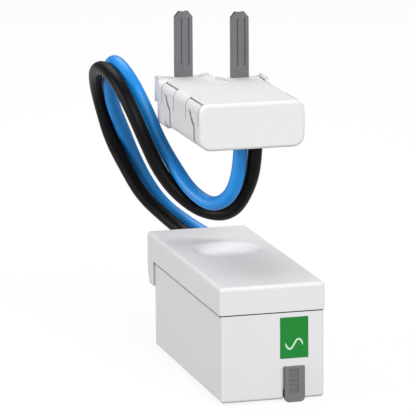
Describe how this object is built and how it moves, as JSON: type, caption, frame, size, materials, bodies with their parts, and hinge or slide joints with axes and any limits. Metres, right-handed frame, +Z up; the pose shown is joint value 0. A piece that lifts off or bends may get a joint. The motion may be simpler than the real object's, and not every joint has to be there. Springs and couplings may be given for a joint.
{
  "type": "energy meter",
  "caption": "Wireless energy sensor for a circuit breaker: a white box housing with a conductor tunnel and a spring latch, joined by blue and black leads to a small plug head with flat pins.",
  "frame": {"origin": "middle of the housing's footprint box, from the latch's front to the lead collars' rear ends, on the plane of the pad that the housing stands on", "axes": "+X to the right seen from the front, +Y from the front face to the rear skirt where the leads leave, +Z up out of the rounded tunnel mouth"},
  "size_m": [0.0268, 0.067, 0.0585],
  "materials": {
    "housing_white": "satin",
    "latch_grey": "satin",
    "spring_steel": "bright",
    "window_green": "gloss",
    "lamp_clear": "gloss",
    "board_green": "satin",
    "core_steel": "satin",
    "winding_copper": "satin",
    "capacitor_blue": "satin",
    "can_aluminium": "satin",
    "resistor_tan": "matte",
    "varistor_blue": "satin",
    "chip_black": "matte",
    "shield_tin": "satin",
    "antenna_tin": "satin",
    "wire_red": "satin",
    "bushing_grey": "matte",
    "lead_core": "satin",
    "lead_black": "satin",
    "lead_blue": "satin",
    "plug_white": "satin",
    "carrier_white": "matte",
    "pin_metal": "satin",
    "crimp_tin": "satin"
  },
  "bodies": {
    "housing": {"body_tub": "housing_white", "top_cover": "housing_white", "latch_spring": "spring_steel", "status_window": "window_green", "status_led": "lamp_clear", "main_board": "board_green", "terminal_board": "board_green", "ct_core": "core_steel", "ct_winding": "winding_copper", "dropper_capacitor": "capacitor_blue", "buffer_capacitors": "can_aluminium", "fuse_resistor": "resistor_tan", "varistor": "varistor_blue", "meter_chip": "chip_black", "radio_shield": "shield_tin", "radio_antenna": "antenna_tin", "link_wires": "wire_red", "lead_bushing": "bushing_grey", "inner_leads": "lead_core", "lead_black": "lead_black", "lead_blue": "lead_blue", "connector_cover": "plug_white", "connector_base": "plug_white", "pin_carrier": "carrier_white", "pin_left": "pin_metal", "pin_right": "pin_metal", "crimp_barrels": "crimp_tin"},
    "latch": {"lock_latch": "latch_grey"}
  },
  "joints": [
    {"name": "latch_slide", "type": "slide", "parent": "housing", "child": "latch", "axis": [0, 0, 1], "range_m": [0, 0.0011], "stiffness_N_per_m": 200, "deforming": ["latch_spring"]}
  ]
}
